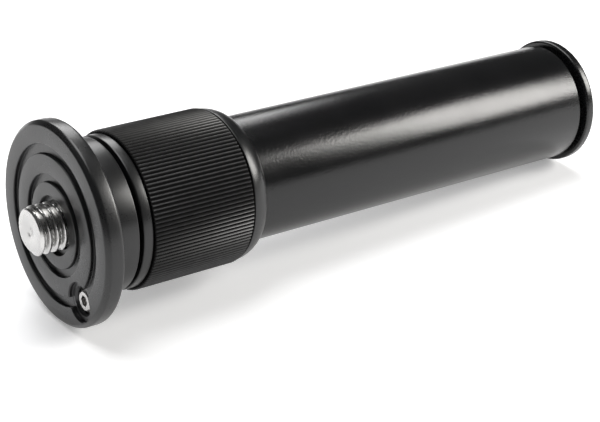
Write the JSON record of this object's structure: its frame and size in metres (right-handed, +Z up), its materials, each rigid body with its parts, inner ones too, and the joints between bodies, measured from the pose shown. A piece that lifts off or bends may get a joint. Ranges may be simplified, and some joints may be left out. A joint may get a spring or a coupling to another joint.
{
  "type": "telescoping extension column",
  "caption": "Short telescoping support column: knurled twist-lock collar, tube sliding in a tube, grooved round head plate with a threaded stud, threaded socket in the base.",
  "frame": {"origin": "centre of the base's seating face, in the mouth of its threaded socket", "axes": "+X along the column from the base to the stud; +Z up with the column lying on its side"},
  "size_m": [0.133, 0.04, 0.04],
  "materials": {
    "anodised_black": "fine bead-blasted black anodising with bright worn edges",
    "tube_black": "satin black powder coat with a faint orange peel",
    "grip_black": "straight knurled, black anodised with bright crests",
    "cap_black": "semi-gloss moulded nylon",
    "bright_steel": "bright plated, machined thread",
    "plain_steel": "plain turned steel",
    "bare_aluminium": "satin drawn tube, black anodised",
    "nylon_black": "moulded nylon, matte",
    "acetal_white": "natural acetal, smooth",
    "rubber_black": "matte moulded rubber",
    "felt_grey": "pressed felt"
  },
  "bodies": {
    "outer_column": {"outer_tube": "tube_black", "base_cap": "cap_black", "base_insert": "plain_steel", "bumper": "rubber_black", "tube_head": "anodised_black"},
    "clamp": {"split_collet": "acetal_white", "thrust_washer": "plain_steel"},
    "locking_collar": {"collar_core": "anodised_black", "grip_sleeve": "grip_black", "wiper_ring": "felt_grey"},
    "inner_column": {"inner_tube": "bare_aluminium", "guide_shell_upper": "nylon_black", "guide_shell_lower": "nylon_black", "inner_plug": "nylon_black", "head_hub": "anodised_black", "head_plate": "anodised_black", "plate_set_screw": "bright_steel", "mounting_stud": "bright_steel", "lock_washer": "plain_steel", "stud_nut": "plain_steel"}
  },
  "joints": [
    {"name": "clamp_advance", "type": "slide", "parent": "outer_column", "child": "clamp", "axis": [1, 0, 0], "range_m": [0, 0.0005]},
    {"name": "collar_turn", "type": "hinge", "parent": "clamp", "child": "locking_collar", "pos_m": [0.1, 0, 0], "axis": [1, 0, 0], "range_deg": [0, 120]},
    {"name": "column_slide", "type": "slide", "parent": "outer_column", "child": "inner_column", "axis": [1, 0, 0], "range_m": [0, 0.0645]}
  ],
  "couplings": [
    {"joint": "clamp_advance", "follows": "collar_turn", "m_per_rad": 0.00023873}
  ]
}
